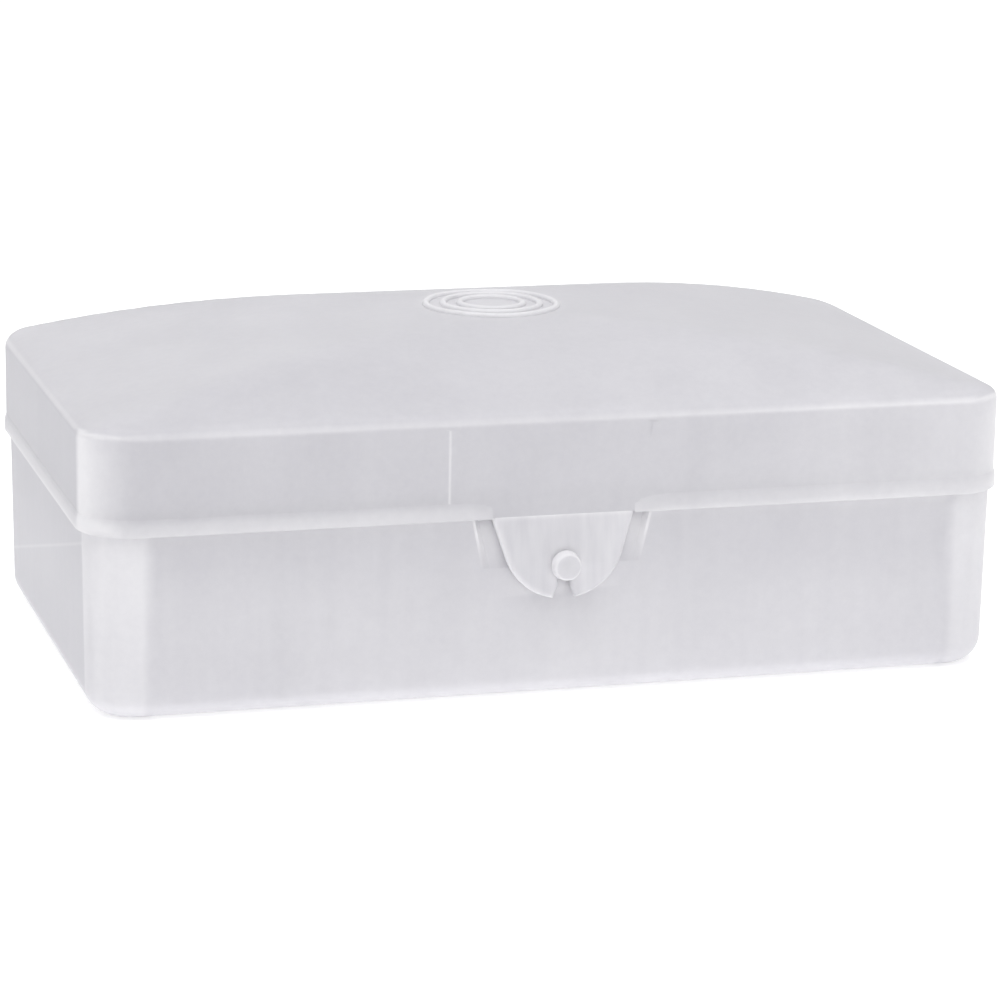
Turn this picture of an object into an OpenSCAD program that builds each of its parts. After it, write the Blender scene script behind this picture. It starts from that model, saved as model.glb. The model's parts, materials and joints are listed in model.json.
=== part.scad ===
// Travel soap box: two translucent mouldings, a base and a domed lid.
// Millimetres. The origin is the middle of the resting face, +Z is up, and the latch faces -Y.

/* [Box] */
// Overall width, over the lid rim
box_w = 105; // [90:1:130]
// Overall depth of the box without its latch and hinge, over the lid rim
box_d = 60; // [50:1:80]
// Height of the base wall, up to the ledge that the lid sits over
base_h = 20.4; // [17:0.2:30]

/* [Base shell] */
// Thickness of the base wall
base_wall = 1.6; // [1.4:0.1:2.2]
// Thickness of the floor
base_floor = 1.5; // [1.0:0.1:2.5]
// Outside radius of the upright corners of the base
base_corner_r = 5.5; // [4.5:0.5:9]
// Radius between the floor and the wall, outside
base_foot_r = 3; // [2:0.25:3.75]
// How far the wall leans in from the ledge to the foot
base_draft = 0.2; // [0.1:0.1:0.5]

/* [Seat lip] */
// Height of the lip that stands up inside the lid
lip_h = 3.2; // [2:0.2:4]
// Thickness of the lip
lip_wall = 0.8; // [0.6:0.1:1.0]
// Clearance between the lip and the inside of the lid
lip_gap = 0.4; // [0.35:0.05:0.5]

/* [Lid shell] */
// Thickness of the lid, the same all over
lid_wall = 1; // [0.8:0.1:1.2]
// Height of the lid's wall, from its lower edge to the border of the dome
lid_skirt_h = 10.9; // [7:0.1:16]
// Outside radius of the top edge
lid_edge_r = 1.6; // [1.4:0.1:2]
// Rise of the dome from its border to the crown
dome_rise = 6.8; // [4:0.2:10]
// Power of the dome's curve from front to back: 2 is a plain curve, more is a flatter crown
dome_power = 2.8; // [2:0.1:4]
// Level ridge along the crown, from end to end
ridge_l = 18; // [12:1:30]
// How far the lid rim stands out past the base wall
lid_overhang = 0.7; // [0.5:0.1:1.1]
// Clearance between the lid's lower edge and the ledge
seat_gap = 0.3; // [0.2:0.05:0.5]

/* [Lid rim] */
// Height of the bead round the lid's lower edge
rim_h = 1.9; // [1.2:0.1:3]
// How far the bead stands out from the skirt
rim_proud = 0.2; // [0.1:0.05:0.3]

/* [Lid rings] */
// Outside radius of the largest of the raised rings on the crown
ring_r = 7.9; // [6:0.1:11]
// Number of rings
ring_count = 3; // [1:1:4]
// Distance from one ring to the next
ring_step = 2.1; // [1.2:0.1:2.6]
// Width of a ring
ring_w = 0.8; // [0.5:0.1:1.1]
// Height of the rings above the crown
ring_h = 0.45; // [0.2:0.05:0.8]

/* [Latch tongue] */
// Width of the tongue at its root
tongue_w = 16.1; // [12:0.1:20]
// Length of the tongue below the lid's lower edge
tongue_l = 9.4; // [8:0.2:12]
// Radius of the tongue's rounded end
tongue_end_r = 6.9; // [5.5:0.1:7.4]
// Thickness of the tongue
tongue_t = 1; // [0.7:0.1:1.2]
// Clearance between the tongue and the face of the base
tongue_gap = 0.3; // [0.2:0.05:0.6]
// Radius of the tongue's hole round the stud's stem
keyhole_r = 0.95; // [0.8:0.05:1.1]
// Width of the slit from the hole to the tip
slit_w = 1.4; // [1.3:0.05:1.6]
// Width of the slit's flared mouth at the tip
slit_mouth_w = 2.6; // [2:0.1:4]
// Height of the flared mouth
slit_mouth_h = 1.5; // [0.5:0.1:2]

/* [Latch stud] */
// Height of the stud's axis below the lid's lower edge
stud_drop = 5.4; // [5:0.1:6]
// Radius of the stem
stem_r = 0.5; // [0.35:0.05:0.55]
// Radius of the mushroom head
stud_head_r = 1.65; // [1.4:0.05:2]
// Thickness of the mushroom head
stud_head_t = 0.9; // [0.6:0.1:1.5]
// Room between the tongue and the back of the head
stud_gap = 0.7; // [0.6:0.05:1]

/* [Latch pocket] */
// Width of the shallow pocket behind the tongue, at the ledge
pocket_top_w = 19.8; // [18:0.1:24]
// Width of the pocket at its lower end
pocket_low_w = 17.5; // [16:0.1:18]
// Height of the pocket
pocket_h = 5.4; // [4:0.1:7]
// Clearance between the bottom of the pocket and the tongue's root
pocket_gap = 0.3; // [0.2:0.05:0.4]

/* [Hinge] */
// Distance between the two hinges
hinge_spacing = 56; // [40:1:66]
// Distance from the lid rim back to the hinge axis
hinge_back = 2.6; // [2.6:0.1:4]
// Height of the hinge axis below the lid's lower edge
hinge_drop = 2; // [1.6:0.1:2.4]
// Radius of the hinge pins
pin_r = 1; // [0.8:0.05:1.2]
// Running clearance of the knuckles on the pins
pin_gap = 0.06; // [0.02:0.01:0.1]
// Outside radius of the knuckles and of the ears
knuckle_r = 2.2; // [1.9:0.05:2.3]
// Width of a knuckle
knuckle_w = 8; // [5:0.5:12]
// Width of the mouth through which a knuckle snaps over its pin
mouth_w = 1.5; // [1:0.1:1.5]
// Height of the arm that carries a knuckle, where it leaves the skirt
arm_h = 3; // [2:0.1:4]
// Flat shoulder on top of the arm, from the skirt back
arm_shoulder = 1.2; // [0.8:0.1:1.6]
// Thickness of an ear
ear_t = 2; // [1.2:0.1:3]
// Clearance between a knuckle and each ear
ear_gap = 0.3; // [0.2:0.05:0.5]
// Height of the web that carries an ear, below the hinge axis
ear_web_h = 7; // [5:0.5:12]

/* [Drain ribs] */
// Number of ribs that hold the soap off the floor
rib_count = 4; // [2:1:6]
// Distance from one rib to the next
rib_step = 11; // [7:0.5:12]
// Length of a rib
rib_l = 76; // [50:1:80]
// Width of a rib
rib_w = 1.4; // [1:0.1:2.5]
// Height of a rib
rib_h = 1.5; // [0.8:0.1:2.5]

/* [Hidden] */
$fn = 48;
// Sides of the full circle that the dome's long arc is a part of
arc_fn = 720;
// Steps of the dome's curve, from its border to the crown
dome_steps = 14;
// Past a face, so that a cut goes right through it
over = 1;

// Size of the base over its wall
base_w = box_w - 2 * lid_overhang;
base_d = box_d - 2 * lid_overhang;

// Size of the skirt inside the rim bead, and its corner radius about the same axis as the base's
skirt_w = box_w - 2 * rim_proud;
skirt_d = box_d - 2 * rim_proud;
skirt_corner_r = base_corner_r + lid_overhang - rim_proud;

// Size of the lip outside
lip_w = skirt_w - 2 * lid_wall - 2 * lip_gap;
lip_d = skirt_d - 2 * lid_wall - 2 * lip_gap;
lip_corner_r = skirt_corner_r - lid_wall - lip_gap;

// Heights of the lid's lower edge, of the dome's border and of its crown
rim_z = base_h + seat_gap;
border_z = rim_z + lid_skirt_h;
crown_z = border_z + dome_rise;

// The arc across the width drops from the ends of the level ridge to the border
half_ridge = ridge_l / 2;
width_arc_r = (skirt_w * skirt_w / 4 - half_ridge * half_ridge) / (2 * dome_rise);
width_arc_z = crown_z + half_ridge * half_ridge / (2 * width_arc_r) - width_arc_r;

// The top edge is rounded on to a slope a little steeper and higher than the dome's border
edge_more = 3;
edge_lift = 0.1;
edge_slope = atan(dome_power * dome_rise / (skirt_d / 2)) + edge_more;
edge_z = border_z + edge_lift - lid_edge_r * (1 / cos(edge_slope) - tan(edge_slope));

// Latch: the base's front face, the tongue's inner face at its end and at its root
face_y = -base_d / 2;
tongue_y = face_y - tongue_gap;
root_y = -skirt_d / 2 + lid_wall;
stud_z = rim_z - stud_drop;
pocket_z = base_h - pocket_h;
pocket_depth = root_y + pocket_gap - face_y;
stud_head_y = tongue_y - tongue_t - stud_gap;

// Hinge: its axis, and its extent either side of the middle of a knuckle
hinge_y = box_d / 2 + hinge_back;
hinge_z = rim_z - hinge_drop;
ear_x = knuckle_w / 2 + ear_gap;
// Direction in which the arm's slope meets the knuckle, up from level
arm_turn = 35;

// Height of the dome above its border, at a distance from the middle of the depth
function dome_h(y) = dome_rise * (1 - pow(abs(y) / (skirt_d / 2), dome_power));

// Point at a distance and an angle from upright round a centre
function round_to(centre, radius, angle) = centre + radius * [sin(angle), cos(angle)];

// Outline of the dome from front to back, as curved lengths, and lowered by a wall
module depth_outline(inset) {
    steps = [for (i = [-dome_steps : dome_steps]) i / dome_steps];
    reach = skirt_d / 2 - inset;
    low = [for (t = steps) [t * reach, border_z + dome_h(t * skirt_d / 2) - inset]];
    polygon(concat([[-box_d, 0], [-box_d, low[0].y - box_d / 2]], low,
                   [[box_d, low[0].y - box_d / 2], [box_d, 0]]));
}

// A box with upright rounded corners. Its child is the outline of the wall beyond the corner's
// axis, which runs round the box, and the middle is filled from low_z to high_z.
module rounded_box(w, d, r, low_z, high_z) {
    for (sx = [-1, 1], sy = [-1, 1])
        translate([sx * (w / 2 - r), sy * (d / 2 - r), 0])
            rotate_extrude()
                children();
    for (s = [-1, 1]) {
        translate([s * (w / 2 - r), 0, 0])
            rotate([90, 0, s > 0 ? 0 : 180])
                linear_extrude(d - 2 * r, center = true)
                    children();
        translate([0, s * (d / 2 - r), 0])
            rotate([90, 0, s * 90])
                linear_extrude(w - 2 * r, center = true)
                    children();
    }
    translate([r - w / 2, r - d / 2, low_z])
        cube([w - 2 * r, d - 2 * r, high_z - low_z]);
}

// Outline of the base beyond the corner's axis
module base_outline() {
    foot_x = base_corner_r - base_draft;
    polygon([[0, 0], [foot_x - base_foot_r, 0], [foot_x, base_foot_r], [base_corner_r, base_h], [0, base_h]]);
    translate([foot_x - base_foot_r, base_foot_r])
        intersection() {
            circle(r = base_foot_r);
            translate([0, -base_foot_r])
                square(base_foot_r);
        }
}

// Outline of the room inside the base beyond the corner's axis
module cavity_outline() {
    r = base_corner_r - base_wall;
    foot_x = r - base_draft;
    foot_r = base_foot_r - base_wall;
    polygon([[0, base_floor], [foot_x - foot_r, base_floor], [foot_x, base_floor + foot_r],
             [r, base_h], [r, base_h + over], [0, base_h + over]]);
    translate([foot_x - foot_r, base_floor + foot_r])
        intersection() {
            circle(r = foot_r);
            translate([0, -foot_r])
                square(foot_r);
        }
}

// Outline of the lid's wall beyond the corner's axis, with the rounded top edge
module skirt_outline(inset, low_z) {
    r = skirt_corner_r - inset;
    edge = [skirt_corner_r - lid_edge_r, edge_z];
    tangent = round_to(edge, lid_edge_r - inset, edge_slope);
    polygon([[0, low_z], [r, low_z], [r, edge_z], edge, tangent, [0, tangent.y + tangent.x * tan(edge_slope)]]);
    translate(edge)
        circle(r = lid_edge_r - inset);
}

// The lid as a solid form, made smaller all round by the inset
module lid_form(inset, low_z) {
    intersection() {
        rounded_box(skirt_w - 2 * inset, skirt_d - 2 * inset, skirt_corner_r - inset, low_z, crown_z + over)
            skirt_outline(inset, low_z);
        translate([0, 0, width_arc_z])
            rotate([90, 0, 0])
                cylinder(r = width_arc_r - inset, h = 2 * box_d, center = true, $fn = arc_fn);
        rotate([90, 0, 90])
            linear_extrude(2 * box_w, center = true)
                depth_outline(inset);
    }
}

// Shallow pocket in the base's front wall, deepest at the ledge, that makes room for the tongue
module latch_pocket() {
    intersection() {
        rotate([90, 0, 0])
            translate([0, 0, -face_y - pocket_depth - over])
                linear_extrude(pocket_depth + 2 * over)
                    polygon([[-pocket_low_w / 2, pocket_z], [pocket_low_w / 2, pocket_z],
                             [pocket_top_w / 2, base_h], [pocket_top_w / 2, base_h + over],
                             [-pocket_top_w / 2, base_h + over], [-pocket_top_w / 2, base_h]]);
        rotate([90, 0, 90])
            linear_extrude(pocket_top_w + 2 * over, center = true)
                polygon([[face_y, pocket_z], [face_y + pocket_depth, base_h],
                         [face_y + pocket_depth, base_h + over], [face_y - over, base_h + over],
                         [face_y - over, pocket_z]]);
    }
}

// The deep base moulding: floor, walls and rounded foot
module base_shell() {
    color("gainsboro", 0.6)
        difference() {
            rounded_box(base_w, base_d, base_corner_r, 0, base_h)
                base_outline();
            rounded_box(base_w - 2 * base_wall, base_d - 2 * base_wall, base_corner_r - base_wall,
                        base_floor, base_h + over)
                cavity_outline();
            latch_pocket();
        }
}

// Outline of the lip beyond the corner's axis, with its round top
module lip_outline() {
    round_r = lip_wall / 2;
    translate([0, base_h])
        square([lip_corner_r, lip_h - round_r]);
    translate([0, base_h])
        square([lip_corner_r - round_r, lip_h]);
    translate([lip_corner_r - round_r, base_h + lip_h - round_r])
        circle(r = round_r);
}

// The thin round-topped lip on the ledge, which guides the lid
module seat_lip() {
    color("gainsboro", 0.6)
        difference() {
            rounded_box(lip_w, lip_d, lip_corner_r, base_h, base_h + lip_h)
                lip_outline();
            rounded_box(lip_w - 2 * lip_wall, lip_d - 2 * lip_wall, lip_corner_r - lip_wall,
                        base_h - over, base_h + lip_h + over)
                translate([0, base_h - over])
                    square([lip_corner_r - lip_wall, lip_h + 2 * over]);
        }
}

// Low round-ended ribs on the floor, which let the soap drain
module drain_ribs() {
    color("gainsboro", 0.6)
        for (i = [0 : rib_count - 1])
            translate([0, (i - (rib_count - 1) / 2) * rib_step, base_floor]) {
                translate([-rib_l / 2, -rib_w / 2, 0])
                    cube([rib_l, rib_w, rib_h]);
                for (s = [-1, 1])
                    translate([s * rib_l / 2, 0, 0])
                        cylinder(r = rib_w / 2, h = rib_h);
            }
}

// The mushroom stud that the tongue's keyhole drops over
module latch_stud() {
    foot_y = face_y + max(0, pocket_depth * (stud_z + stem_r - pocket_z) / pocket_h);
    color("whitesmoke", 0.7)
        difference() {
            translate([0, 0, stud_z])
                rotate([90, 0, 0]) {
                    translate([0, 0, -foot_y])
                        cylinder(r = stem_r, h = foot_y - stud_head_y + stud_head_t / 2);
                    translate([0, 0, -stud_head_y])
                        rotate_extrude() {
                            square([stud_head_r - stud_head_t / 2, stud_head_t]);
                            square([stud_head_r, stud_head_t / 2]);
                            translate([stud_head_r - stud_head_t / 2, stud_head_t / 2])
                                circle(r = stud_head_t / 2);
                        }
                }
            wall_behind_stud();
        }
}

// The base's front wall near the stud, with its pocket, as the stud's foot meets it
module wall_behind_stud() {
    difference() {
        translate([-stud_head_r, face_y, stud_z - 2 * stud_head_r])
            cube([2 * stud_head_r, base_wall, 4 * stud_head_r]);
        latch_pocket();
    }
}

// Outline of an ear, seen from the side: Y across and Z up
module ear_outline() {
    translate([hinge_y, hinge_z])
        circle(r = knuckle_r);
    polygon([[base_d / 2, hinge_z - ear_web_h], [hinge_y, hinge_z - knuckle_r],
             [hinge_y, hinge_z + knuckle_r / 2], [base_d / 2, hinge_z + knuckle_r / 2]]);
}

// Two pairs of ears on the back wall of the base
module hinge_ears() {
    color("gainsboro", 0.6)
        difference() {
            for (sx = [-1, 1], se = [-1, 1])
                translate([sx * hinge_spacing / 2 + se * (ear_x + ear_t / 2), 0, 0])
                    rotate([90, 0, 90])
                        linear_extrude(ear_t, center = true)
                            ear_outline();
            rounded_box(base_w, base_d, base_corner_r, 0, base_h)
                base_outline();
        }
}

// The two pins between the ears
module hinge_pins() {
    color("whitesmoke", 0.7)
        for (sx = [-1, 1])
            translate([sx * hinge_spacing / 2, hinge_y, hinge_z])
                rotate([0, 90, 0])
                    cylinder(r = pin_r, h = 2 * ear_x, center = true);
}

// The domed lid moulding, one thin wall all over
module lid_shell() {
    color("gainsboro", 0.6)
        difference() {
            lid_form(0, rim_z);
            lid_form(lid_wall, rim_z - over);
        }
}

// The bead round the lid's lower edge, left out at the tongue and at the knuckles
module lid_rim() {
    rim_corner_r = skirt_corner_r + rim_proud;
    color("whitesmoke", 0.7)
        difference() {
            rounded_box(box_w, box_d, rim_corner_r, rim_z, rim_z + rim_h)
                polygon([[0, rim_z], [rim_corner_r, rim_z], [rim_corner_r, rim_z + rim_h - rim_proud],
                         [rim_corner_r - rim_proud, rim_z + rim_h], [0, rim_z + rim_h]]);
            rounded_box(skirt_w, skirt_d, skirt_corner_r, rim_z - over, rim_z + rim_h + over)
                translate([0, rim_z - over])
                    square([skirt_corner_r, rim_h + 2 * over]);
            translate([-tongue_w / 2, -box_d / 2 - over, rim_z - over])
                cube([tongue_w, over + base_corner_r, rim_h + 2 * over]);
            for (sx = [-1, 1])
                translate([sx * hinge_spacing / 2 - knuckle_w / 2, box_d / 2 - base_corner_r, rim_z - over])
                    cube([knuckle_w, over + base_corner_r, rim_h + 2 * over]);
        }
}

// Plain raised rings on the crown, with rounded edges, that start below it and are cut to it
module lid_rings() {
    round_r = ring_w / 4;
    color("whitesmoke", 0.7)
        difference() {
            for (i = [0 : ring_count - 1])
                translate([0, 0, crown_z - ring_h])
                    rotate_extrude()
                        translate([ring_r - ring_w - i * ring_step, 0]) {
                            square([ring_w, 2 * ring_h - round_r]);
                            translate([round_r, 0])
                                square([ring_w - 2 * round_r, 2 * ring_h]);
                            for (x = [round_r, ring_w - round_r])
                                translate([x, 2 * ring_h - round_r])
                                    circle(r = round_r);
                        }
            lid_form(0, rim_z);
        }
}

// Front outline of the tongue: X across and Z up
module tongue_outline() {
    end = [0, rim_z - tongue_l + tongue_end_r];
    corner = [tongue_w / 2, rim_z] - end;
    turn = atan2(corner.y, corner.x) - acos(tongue_end_r / norm(corner));
    side = tongue_end_r * [cos(turn), sin(turn)];
    mouth_z = rim_z - tongue_l;
    difference() {
        union() {
            translate(end)
                circle(r = tongue_end_r);
            polygon([[-tongue_w / 2, rim_z], end + [-side.x, side.y], end + side, [tongue_w / 2, rim_z]]);
        }
        translate([-tongue_w / 2, rim_z])
            square([tongue_w, tongue_end_r]);
        translate([0, stud_z])
            circle(r = keyhole_r);
        translate([-slit_w / 2, mouth_z - over])
            square([slit_w, stud_z - mouth_z + over]);
        polygon([[-slit_w / 2, mouth_z + slit_mouth_h], [slit_w / 2, mouth_z + slit_mouth_h],
                 [slit_mouth_w / 2, mouth_z], [slit_mouth_w / 2, mouth_z - over],
                 [-slit_mouth_w / 2, mouth_z - over], [-slit_mouth_w / 2, mouth_z]]);
    }
}

// The tongue: it leaves the skirt in line with it, leans out over the pocket and hangs down
// before the base's face
module latch_tongue() {
    tip_z = rim_z - tongue_l - over;
    color("whitesmoke", 0.7)
        intersection() {
            rotate([90, 0, 0])
                linear_extrude(box_d)
                    tongue_outline();
            rotate([90, 0, 90])
                linear_extrude(tongue_w + 2 * over, center = true)
                    polygon([[root_y, rim_z], [tongue_y, pocket_z], [tongue_y, tip_z],
                             [tongue_y - tongue_t, tip_z], [tongue_y - tongue_t, pocket_z],
                             [root_y - tongue_t, rim_z]]);
        }
}

// Outline of a knuckle and its arm, seen from the side: Y across and Z up
module knuckle_outline() {
    back_y = skirt_d / 2;
    difference() {
        union() {
            translate([hinge_y, hinge_z])
                circle(r = knuckle_r);
            polygon([[back_y, rim_z], [back_y, rim_z + arm_h], [back_y + arm_shoulder, rim_z + arm_h],
                     [hinge_y, hinge_z] + knuckle_r * [cos(arm_turn), sin(arm_turn)],
                     [hinge_y, hinge_z], [hinge_y - knuckle_r, hinge_z], [hinge_y - knuckle_r, rim_z]]);
        }
        translate([hinge_y, hinge_z])
            circle(r = pin_r + pin_gap);
        translate([hinge_y - mouth_w / 2, hinge_z - 2 * knuckle_r])
            square([mouth_w, 2 * knuckle_r]);
    }
}

// Two open knuckles on the lid's back skirt
module hinge_knuckles() {
    color("whitesmoke", 0.7)
        for (sx = [-1, 1])
            translate([sx * hinge_spacing / 2, 0, 0])
                rotate([90, 0, 90])
                    linear_extrude(knuckle_w, center = true)
                        knuckle_outline();
}

base_shell();
seat_lip();
drain_ribs();
latch_stud();
hinge_ears();
hinge_pins();
lid_shell();
lid_rim();
lid_rings();
latch_tongue();
hinge_knuckles();
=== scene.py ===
# A travel soap box in natural, frosted polypropylene: a deep tray, and a domed lid that is hinged
# at the back and held by a tongue over a stud at the front. Every piece is shaped in millimetres,
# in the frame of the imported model, and scaled to metres as its mesh is finished.
import json
import math

import bmesh
import bpy
from mathutils import Matrix, Vector


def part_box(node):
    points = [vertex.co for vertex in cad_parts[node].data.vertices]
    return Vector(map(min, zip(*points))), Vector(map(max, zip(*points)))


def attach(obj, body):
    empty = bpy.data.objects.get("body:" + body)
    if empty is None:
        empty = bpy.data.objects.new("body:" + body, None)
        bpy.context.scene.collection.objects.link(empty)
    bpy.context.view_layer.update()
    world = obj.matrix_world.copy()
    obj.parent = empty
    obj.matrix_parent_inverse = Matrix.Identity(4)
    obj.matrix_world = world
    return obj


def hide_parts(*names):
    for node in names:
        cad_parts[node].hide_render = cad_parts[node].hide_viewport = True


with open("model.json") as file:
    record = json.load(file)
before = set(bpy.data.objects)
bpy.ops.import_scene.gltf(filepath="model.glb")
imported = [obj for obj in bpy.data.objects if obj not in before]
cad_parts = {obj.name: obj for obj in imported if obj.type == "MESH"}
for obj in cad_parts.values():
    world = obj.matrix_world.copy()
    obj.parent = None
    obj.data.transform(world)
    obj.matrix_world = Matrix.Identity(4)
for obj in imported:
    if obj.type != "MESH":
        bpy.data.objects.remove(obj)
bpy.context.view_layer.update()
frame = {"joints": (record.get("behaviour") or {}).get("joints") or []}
scene = bpy.context.scene


# Camera. A long lens stands a little to the left of the front and above it, and the picture is
# level to within a degree. The place was fitted to the edges of the box in the photograph.
CAMERA_AZIMUTH = -16.328
CAMERA_ELEVATION = 13.752
CAMERA_ROLL = 0.986
CAMERA_DISTANCE = 0.43354
CAMERA_TARGET = (0.001466, 0, 0.015097)
CAMERA_LENS = 134.2

azimuth = math.radians(CAMERA_AZIMUTH)
elevation = math.radians(CAMERA_ELEVATION)
roll = math.radians(CAMERA_ROLL)
back = Vector((math.sin(azimuth) * math.cos(elevation),
               -math.cos(azimuth) * math.cos(elevation),
               math.sin(elevation)))
level_right = Vector((math.cos(azimuth), math.sin(azimuth), 0))
level_up = back.cross(level_right)
right = level_right * math.cos(roll) + level_up * math.sin(roll)
up = level_up * math.cos(roll) - level_right * math.sin(roll)
camera = bpy.data.objects.new("camera", bpy.data.cameras.new("camera"))
camera.data.lens = CAMERA_LENS
camera.data.sensor_width = 36
camera.matrix_world = Matrix((
    (right.x, up.x, back.x, CAMERA_TARGET[0] + back.x * CAMERA_DISTANCE),
    (right.y, up.y, back.y, CAMERA_TARGET[1] + back.y * CAMERA_DISTANCE),
    (right.z, up.z, back.z, CAMERA_TARGET[2] + back.z * CAMERA_DISTANCE),
    (0, 0, 0, 1)))
scene.collection.objects.link(camera)
scene.camera = camera
scene.view_settings.view_transform = "Standard"


# Studio. The box stands on a table of white opal acrylic that is lit a little from below, as for
# product pictures, in even white light from all round, with a large soft lamp overhead.
FLOOR_SIZE = 6
OPAL_WHITE = "f2f2f2"
OPAL_GLOW = 0.36
PANEL_GLOW = 0.44
PANEL_HALF = (0.053, 0.031)
PANEL_FADE = 0.02


def linear(code, alpha=1.0):
    """An sRGB hex colour as linear red, green, blue and alpha."""
    parts = [int(code[i:i + 2], 16) / 255 for i in (0, 2, 4)]
    return (*(p / 12.92 if p < 0.04045 else ((p + 0.055) / 1.055) ** 2.4 for p in parts), alpha)


def add(tree, kind, settings=None, links=None, **fields):
    """Adds a node with its fields, the values of its sockets and what is linked to them."""
    node = tree.nodes.new(kind)
    for name, value in fields.items():
        setattr(node, name, value)
    for name, value in (settings or {}).items():
        node.inputs[name].default_value = value
    for name, source in (links or {}).items():
        tree.links.new(source, node.inputs[name])
    return node


def new_material(name):
    """An empty material's tree, with its output node."""
    material = bpy.data.materials.new(name)
    material.use_nodes = True
    tree = material.node_tree
    tree.nodes.clear()
    return material, tree, tree.nodes.new("ShaderNodeOutputMaterial")


# Opal acrylic, sanded matt. The panel below it is strongest under the box and fades out round it.
opal, tree, output = new_material("sanded_opal_acrylic")
place = add(tree, "ShaderNodeTexCoord")
grain = add(tree, "ShaderNodeTexNoise", {"Scale": 900, "Detail": 3},
            {"Vector": place.outputs["Object"]})
relief = add(tree, "ShaderNodeBump", {"Strength": 0.05, "Distance": 0.0001},
             {"Height": grain.outputs["Fac"]})
along_across = add(tree, "ShaderNodeSeparateXYZ", None, {"Vector": place.outputs["Object"]})
beyond = []
for axis, half in zip("XY", PANEL_HALF):
    span = add(tree, "ShaderNodeMath", None, {0: along_across.outputs[axis]}, operation="ABSOLUTE")
    past_panel = add(tree, "ShaderNodeMath", {1: half}, {0: span.outputs[0]}, operation="SUBTRACT")
    beyond.append(past_panel.outputs[0])
away = add(tree, "ShaderNodeMath", None, {0: beyond[0], 1: beyond[1]}, operation="MAXIMUM")
glow = add(tree, "ShaderNodeMapRange",
           {"From Max": PANEL_FADE, "To Min": PANEL_GLOW, "To Max": OPAL_GLOW},
           {"Value": away.outputs[0]}, interpolation_type="SMOOTHSTEP")
sheet = add(tree, "ShaderNodeBsdfPrincipled",
            {"Base Color": linear(OPAL_WHITE), "Roughness": 0.9, "Specular IOR Level": 0.1,
             "Emission Color": linear(OPAL_WHITE)},
            {"Normal": relief.outputs["Normal"], "Emission Strength": glow.outputs["Result"]})
tree.links.new(sheet.outputs["BSDF"], output.inputs["Surface"])

bm = bmesh.new()
bmesh.ops.create_grid(bm, x_segments=1, y_segments=1, size=FLOOR_SIZE / 2)
floor_mesh = bpy.data.meshes.new("studio_floor")
bm.to_mesh(floor_mesh)
bm.free()
floor_mesh.materials.append(opal)
floor = bpy.data.objects.new("studio_floor", floor_mesh)
scene.collection.objects.link(floor)

world = bpy.data.worlds.new("studio")
scene.world = world
world.use_nodes = True
white_room = world.node_tree.nodes["Background"]
white_room.inputs["Color"].default_value = linear("ffffff")
white_room.inputs["Strength"].default_value = 0.7

OVERHEAD_PLACE = (-0.08, -0.16, 0.78)
overhead = bpy.data.lights.new("lamp_overhead", "AREA")
overhead.energy = 4
overhead.size = 0.8
lamp_overhead = bpy.data.objects.new("lamp_overhead", overhead)
lamp_overhead.location = OVERHEAD_PLACE
lamp_overhead.rotation_euler = Vector(OVERHEAD_PLACE).to_track_quat("Z", "Y").to_euler()
scene.collection.objects.link(lamp_overhead)

# A spot with a soft edge, from the right, lifts only that end of the front.
SPOT_AIM = (0.055, -0.03, 0.02)
beam = bpy.data.lights.new("spot_right", "SPOT")
beam.energy = 0.9
beam.spot_size = math.radians(14)
beam.spot_blend = 1
beam.shadow_soft_size = 0.06
spot_right = bpy.data.objects.new("spot_right", beam)
spot_right.location = (0.3, -0.55, 0.12)
spot_line = spot_right.location - Vector(SPOT_AIM)
spot_right.rotation_euler = spot_line.to_track_quat("Z", "Y").to_euler()
scene.collection.objects.link(spot_right)


# Base shell. The deep tray is one injection moulding in natural polypropylene: a floor with a
# rounded foot, upright round corners, walls that lean in a little so that it leaves the mould, a
# ledge for the lid, and a shallow pocket in the front wall that makes room for the lid's tongue.
MM = 0.001
base_low, base_high = (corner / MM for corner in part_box("base_shell"))
BASE_W = base_high.x - base_low.x
BASE_D = base_high.y - base_low.y
BASE_H = base_high.z
BASE_WALL = 1.6
BASE_FLOOR = 1.5
CORNER_R = 5.5
FOOT_R = 3
DRAFT = 0.2
LEDGE_R = 0.15
LEDGE_UP = 0.2
POCKET_TOP = 9.9
POCKET_LOW = 8.75
POCKET_H = 5.4
POCKET_DEPTH = 0.8
POCKET_SIDE = 0.5
POCKET_LINE = 0.26
POCKET_HEM = 0.08
CORNER_FADE = (0.9, 1.6)
SLIT_GLOW = 1.9
SLIT_GLOW_Z = 12
WELD_BACK_Z = 6.4
WELD_FRONT_Z = 18.8
WELD_HALF = 0.3
TURN_STEPS = 14
TOUCH = 0.01
FACE_Y = -BASE_D / 2
POCKET_Z = BASE_H - POCKET_H

# Light travels inside the clear plastic and leaves it where the wall bends or thickens, so corners,
# edges and beads look whiter than the flat walls. The milk attribute paints that light, with more
# painted light and shade, into the plastic's own milkiness: how white, from 0 to 1.
CLEAR_TINT = "d3d2d9"
MILK_TINT = "f5f4f7"
CLOUD_SIZE = 9
FROST_SIZE = 0.9
SKIN_SIZE = 0.35
SKIN_DEPTH = 0.05
STREAK_STRETCH = 0.06
WALL_MILK = 0.46
CORNER_MILK_AND_LIGHT = 0.86
END_MILK_SHADED = 0.12


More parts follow.
